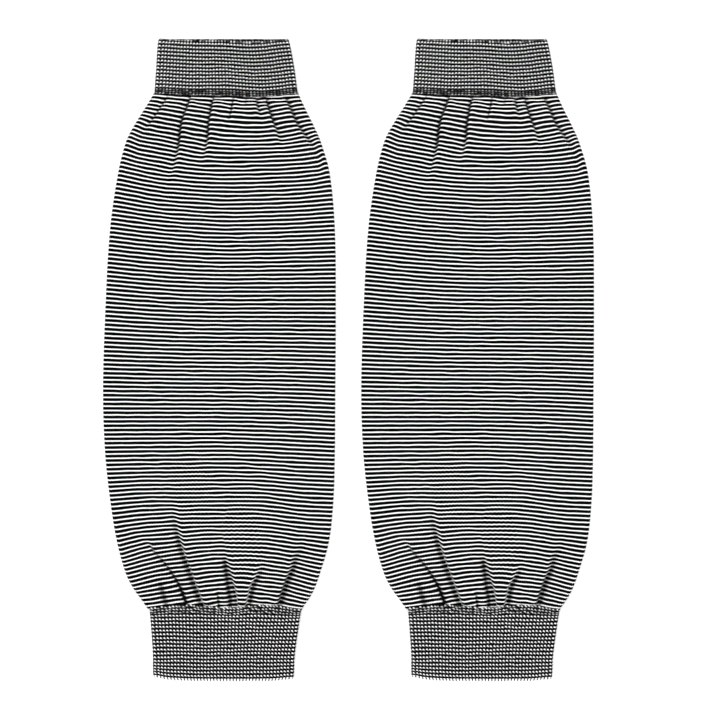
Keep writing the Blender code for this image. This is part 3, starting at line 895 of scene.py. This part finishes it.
def paint(cotton, yarns, white):
    """Colours the yarn: white where the share of white is 1, with shade painted into the hollows and
    creases of the gathers.
    """
    add = cotton.add
    colours = (white, (*yarns.black_yarn, 1.0), (*yarns.white_yarn, 1.0))
    colour = add(MIX, dict(zip(COLOUR_MIX, colours)), data_type="RGBA")
    # Painted shade: the shade attribute darkens the yarn's colour where the gathers' hollows and
    # creases lie in shade
    shade = add("ShaderNodeAttribute", attribute_name="shade")
    unshaded = add(MATH, (1.0, shade.outputs["Fac"]), operation="SUBTRACT")
    lit = add(MATH, (unshaded, SHADE_POWER), operation="POWER")
    uneven = add(MAP_RANGE, (cotton.twist, *TWIST_RANGE, *TWIST_SHADES))
    brightness = add(MATH, (lit, uneven), operation="MULTIPLY")
    dimmed = add(VECTOR_MATH, {0: colour.outputs[COLOUR_MIXED], "Scale": brightness},
                 operation="SCALE")
    links = cotton.material.node_tree.links
    links.new(dimmed.outputs[0], cotton.shader.inputs["Base Color"])
    return cotton.material


def body_yarn(yarns):
    """Plain knit in two spun cottons, matt, each course of its own colour."""
    cotton = spun_cotton("spun cotton plain knit", 1.0)
    add = cotton.add
    after_black = add(MATH, (cotton.course, 0.5), operation="SUBTRACT")
    to_white = add(MATH, (after_black, 1.0), operation="PINGPONG")
    uneven = add(MATH, (cotton.twist, EDGE_FUZZ, to_white), operation="MULTIPLY_ADD")
    edge = yarns.black_share + 0.5 * EDGE_FUZZ
    white = add(MAP_RANGE, (uneven, edge - EDGE_BLUR, edge + EDGE_BLUR), **SMOOTH)
    return paint(cotton, yarns, white)


def cuff_yarn(yarns, name, rib):
    """One by one rib in two spun cottons: each white stitch shows as a dot between black courses.

    Its first courses may be a band of mixed yarn, or a white bound-off edge with dark loops, and
    its last ones may lie packed and uneven, or end in a rim with pale specks.
    """
    cotton = spun_cotton(name, WALES_IN_RIB)
    add, knit, wale, course = cotton.add, cotton.knit, cotton.wale, cotton.course
    place = add(VECTOR_MATH, (knit, CELL_SCALE, CELL_START), operation="MULTIPLY_ADD")
    stitch = add(VECTOR_MATH, (place,), operation="FLOOR")
    chance = add("ShaderNodeTexWhiteNoise", (stitch,), noise_dimensions="2D").outputs
    share = add(VECTOR_MATH, (place,), operation="FRACTION")
    from_centre = add(VECTOR_MATH, (share, (2.0, 2.0, 0.0), (-1.0, -1.0, 0.0)),
                      operation="MULTIPLY_ADD")
    centred = add(VECTOR_MATH, (chance["Color"], (0.5, 0.5, 0.5)), operation="SUBTRACT")
    packed = add(MAP_RANGE, (course, rib.packed_from, rib.packed_from + 1.0))
    unevenness = add(MATH, (packed, PACKED_JITTER, 1.0), operation="MULTIPLY_ADD")
    jitter = add(VECTOR_MATH, {0: centred, "Scale": unevenness}, operation="SCALE")
    moved = add(VECTOR_MATH, (jitter, DOT_JITTER, from_centre), operation="MULTIPLY_ADD")
    across, along = (add("ShaderNodeSeparateXYZ", (moved,)).outputs[axis] for axis in "XY")
    slant = add(MAP_RANGE, (wale, 0.0, DOT_SLANT_WALES, *rib.slants))
    slanted = add(MATH, (across, slant, along), operation="MULTIPLY_ADD")
    from_dot = from_oval(add, across, slanted, DOT_HALF_WIDTH, rib.half_height)
    dot = add(MAP_RANGE, (from_dot, *DOT_EDGES), **SMOOTH)
    above_link = add(MATH, (slanted, rib.link_drop), operation="ADD")
    off_link = add(MATH, (above_link,), operation="ABSOLUTE")
    link = add(MAP_RANGE, (off_link, *LINK_EDGES, 0.0, rib.link_white), **SMOOTH)
    white = add(MATH, (dot, link), operation="MAXIMUM")
    uneven = add(MATH, (chance["Value"], SPECK_POWER), operation="POWER")
    speck = add(MATH, (uneven, SPECK_WHITE, SPECK_LEAST), operation="MULTIPLY_ADD")
    mixed = add(MATH, (speck, white), operation="MULTIPLY")
    dimness = add(MATH, (chance["Value"], packed), operation="MULTIPLY")
    kept = add(MATH, (dimness, -PACKED_DIMNESS, 1.0), operation="MULTIPLY_ADD")
    white = add(MATH, (white, kept), operation="MULTIPLY")
    in_band = add(MATH, (course, rib.band_end), operation="LESS_THAN")
    off_crest = add(MATH, (across,), operation="ABSOLUTE")
    bar = add(MAP_RANGE, (off_crest, *RIM_SPECK_EDGES, 0.0, RIM_WHITE))
    at_rim = add(MATH, (course, rib.rim_from), operation="GREATER_THAN")
    rim = add(MATH, (uneven, bar), operation="MULTIPLY")
    from_valley = add(MATH, (1.0, rib_places(add, wale, WALES_IN_RIB)), operation="SUBTRACT")
    from_loop = from_oval(add, from_valley, along, LOOP_HALF_WIDTH, LOOP_HALF_HEIGHT)
    edge = add(MAP_RANGE, (from_loop, *LOOP_EDGES), **SMOOTH)
    in_edge = add(MATH, (course, rib.bound_off_end), operation="LESS_THAN")
    for chosen, other in ((in_band, mixed), (at_rim, rim), (in_edge, edge)):
        white = add(MIX, dict(zip(VALUE_MIX, (chosen, white, other))), data_type="FLOAT")
    return paint(cotton, yarns, white)


# What the depths share in the panel, and what the colours do
DEPTH = {"min": 0.0, "max": 0.002, "subtype": "DISTANCE", "precision": 5}
COLOUR = {"min": 0.0, "max": 1.0, "subtype": "COLOR"}


class KnitSizes(PropertyGroup):
    """How deep the stitches and ribs stand."""

    course_ridge: FloatProperty(
        name="Course Ridge", description="How far a course stands above the groove beside it",
        default=0.00018, **DEPTH)
    stitch_arch: FloatProperty(
        name="Stitch Arch", description="How far each course arches over its stitches",
        default=0.0003, **DEPTH)
    rib_arch: FloatProperty(
        name="Rib Arch", description="How far each course of a cuff arches over its ribs",
        default=0.0004, **DEPTH)
    wale_depth: FloatProperty(
        name="Wale Depth", description="Depth of the groove between two wales of the body",
        default=0.00012, **DEPTH)
    rib_depth: FloatProperty(
        name="Rib Depth", description="Depth of the valley between two ribs of a cuff",
        default=0.0007, **DEPTH)
    leg_groove: FloatProperty(
        name="Leg Groove", description="Depth of the groove between the two legs of a stitch",
        default=0.00012, **DEPTH)


class YarnLooks(PropertyGroup):
    """Colours of the yarns."""

    white_yarn: FloatVectorProperty(
        name="White Yarn", description="Colour of the white courses",
        default=linear("#F6F6F4"), **COLOUR)
    black_yarn: FloatVectorProperty(
        name="Black Yarn", description="Colour of the black courses",
        default=linear("#08080A"), **COLOUR)
    black_share: FloatProperty(
        name="Black Share", description="Share of a pair of courses that is black",
        default=0.735, min=0.2, max=0.9, subtype="FACTOR")


class StageLooks(PropertyGroup):
    """The floor, the light and the camera."""

    floor_colour: FloatVectorProperty(
        name="Floor Colour", description="Colour of the floor",
        default=linear("#F8F8F8"), **COLOUR)
    sky_strength: FloatProperty(
        name="Sky Strength", description="Strength of the even light from all sides",
        default=1.22, min=0.0, max=5.0)
    lamp_power: FloatProperty(
        name="Lamp Power", description="Power of the soft box above the sleeves",
        default=20.0, min=0.0, max=500.0, subtype="POWER")
    lens: FloatProperty(
        name="Lens", description="Focal length of the camera in millimetres",
        default=150.0, min=20.0, max=400.0)
    view_width: FloatProperty(
        name="View Width", description="Width of floor that the camera sees",
        default=0.468, min=0.1, max=3.0, subtype="DISTANCE")


class SLEEVES_OT_bodies(Operator):
    """Knit the plain body of each sleeve"""

    bl_idname = "sleeves.bodies"
    bl_label = "Knit the Bodies"

    def execute(self, context):
        sizes = context.scene.knit_sizes
        ring = ring_places(BODY_WALES, WALE_COLUMNS, BODY_BACK_POINTS, 1)
        first = BODY_COURSES[0].number - HIDDEN_COURSES
        last = BODY_COURSES[-1].number + HIDDEN_COURSES
        courses = np.arange(2 * first, 2 * last + 1) / 2
        inner_courses = np.linspace(first, last, BODY_INNER_ROWS)
        mesh = tube_mesh("body", body_points, BODY_COURSES, courses, inner_courses, ring)
        knit = grown(mesh, stitch_tree(), {
            "Wales in a Rib": 1.0,
            "Rib Depth": sizes.wale_depth,
            "Leg Groove": 0.0,
            "Course Ridge": sizes.course_ridge,
            "Stitch Arch": sizes.stitch_arch,
            "Yarn": body_yarn(context.scene.yarn_looks),
        })
        place_pair(knit, "body", "body_knit", *cloth_size(BODY_OUTLINE, LOWER_SEAM, UPPER_SEAM))
        return {"FINISHED"}


def knit_cuff(context, name, make_points, table, inner_courses, outline, ends, rib):
    """Knits one ribbed cuff and puts it in each sleeve."""
    sizes = context.scene.knit_sizes
    cloth = "spun cotton rib of the " + name.replace("_", " ")
    ring = ring_places(CUFF_RIBS, RIB_COLUMNS, CUFF_BACK_POINTS, WALES_IN_RIB)
    first, last = table[0].number, table[-1].number
    courses = np.linspace(first, last, round(COURSE_ROWS * (last - first)) + 1)
    mesh = tube_mesh(name, make_points, table, courses, inner_courses, ring)
    knit = grown(mesh, stitch_tree(), {
        "Wales in a Rib": WALES_IN_RIB,
        "Rib Depth": sizes.rib_depth,
        "Leg Groove": sizes.leg_groove,
        "Course Ridge": sizes.course_ridge,
        "Stitch Arch": sizes.rib_arch,
        "Yarn": cuff_yarn(context.scene.yarn_looks, cloth, rib),
    })
    place_pair(knit, name, name + "_rib", *cloth_size(outline, *ends))


class SLEEVES_OT_upper_cuffs(Operator):
    """Knit the ribbed upper cuff of each sleeve, with its band"""

    bl_idname = "sleeves.upper_cuffs"
    bl_label = "Knit the Upper Cuffs"

    def execute(self, context):
        last = UPPER_CUFF_COURSES[-1].number
        mouth = last + np.arange(1 - 2 * MOUTH_COURSES, 1) / 2
        inner = np.append(np.linspace(0.0, last - MOUTH_COURSES, UPPER_INNER_ROWS), mouth)
        knit_cuff(context, "upper_cuff", upper_cuff_points, UPPER_CUFF_COURSES, inner,
                  UPPER_CUFF_OUTLINE, (UPPER_SEAM, SLEEVE_LENGTH), UPPER_YARN)
        return {"FINISHED"}


class SLEEVES_OT_lower_cuffs(Operator):
    """Knit the ribbed lower cuff of each sleeve"""

    bl_idname = "sleeves.lower_cuffs"
    bl_label = "Knit the Lower Cuffs"

    def execute(self, context):
        first, last = LOWER_CUFF_COURSES[0].number, LOWER_CUFF_COURSES[-1].number
        inner = np.linspace(first, last, LOWER_INNER_ROWS)
        knit_cuff(context, "lower_cuff", lower_cuff_points, LOWER_CUFF_COURSES, inner,
                  LOWER_CUFF_OUTLINE, (0.0, LOWER_SEAM), LOWER_YARN)
        return {"FINISHED"}


class SLEEVES_OT_stage(Operator):
    """Lay the pale floor, and set the light and the camera straight above the sleeves"""

    bl_idname = "sleeves.stage"
    bl_label = "Set the Stage"

    def execute(self, context):
        looks = context.scene.stage_looks
        mesh = bpy.data.meshes.new("floor")
        square = ((-1, -1), (1, -1), (1, 1), (-1, 1))
        points = [(x * FLOOR_REACH, y * FLOOR_REACH, FLOOR_DROP) for x, y in square]
        mesh.from_pydata(points, [], [(0, 1, 2, 3)])
        # Matt paper: rough all over, so that the floor shows no gloss
        paper, shader = matt_material("matt white paper", 1.0)
        shader.inputs["Base Color"].default_value = (*looks.floor_colour, 1.0)
        mesh.materials.append(paper)
        add_object("floor", mesh)

        world = bpy.data.worlds.new("even sky")
        world.use_nodes = True
        sky = world.node_tree.nodes["Background"]
        sky.inputs["Color"].default_value = (1.0, 1.0, 1.0, 1.0)
        sky.inputs["Strength"].default_value = looks.sky_strength
        context.scene.world = world

        lamp = bpy.data.lights.new("soft box", "AREA")
        lamp.shape = "SQUARE"
        lamp.size = LAMP_SIZE
        lamp.energy = looks.lamp_power
        box = add_object("soft box", lamp)
        box.location = LAMP_PLACE
        box.rotation_euler = (-Vector(LAMP_PLACE)).to_track_quat("-Z", "Y").to_euler()

        lens = bpy.data.cameras.new("camera")
        lens.lens = looks.lens
        camera = add_object("camera", lens)
        height = looks.view_width * looks.lens / lens.sensor_width
        camera.location = (*VIEW_CENTRE, height)
        context.scene.camera = camera
        context.scene.view_settings.view_transform = "Standard"
        return {"FINISHED"}


class SLEEVES_PT_panel(Panel):
    """Lists the sleeves' sizes, colours and pieces"""

    bl_idname = "SLEEVES_PT_panel"
    bl_label = "Knitted Sleeves"
    bl_space_type = "VIEW_3D"
    bl_region_type = "UI"
    bl_category = "Sleeves"

    def draw(self, context):
        for group, kind in GROUPS.items():
            box = self.layout.box()
            for name in kind.__annotations__:
                box.prop(getattr(context.scene, group), name)
        for maker in MAKERS:
            self.layout.operator(maker.bl_idname)


GROUPS = {"knit_sizes": KnitSizes, "yarn_looks": YarnLooks, "stage_looks": StageLooks}
MAKERS = (SLEEVES_OT_stage, SLEEVES_OT_bodies, SLEEVES_OT_upper_cuffs, SLEEVES_OT_lower_cuffs)
CLASSES = (*GROUPS.values(), *MAKERS, SLEEVES_PT_panel)


def register():
    for each in CLASSES:
        bpy.utils.register_class(each)
    for name, group in GROUPS.items():
        setattr(bpy.types.Scene, name, PointerProperty(type=group))


def unregister():
    for name in GROUPS:
        delattr(bpy.types.Scene, name)
    for each in reversed(CLASSES):
        bpy.utils.unregister_class(each)


def main():
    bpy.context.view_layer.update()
    register()
    bpy.ops.sleeves.stage()
    bpy.ops.sleeves.bodies()
    bpy.ops.sleeves.upper_cuffs()
    bpy.ops.sleeves.lower_cuffs()


if __name__ == "__main__":
    main()
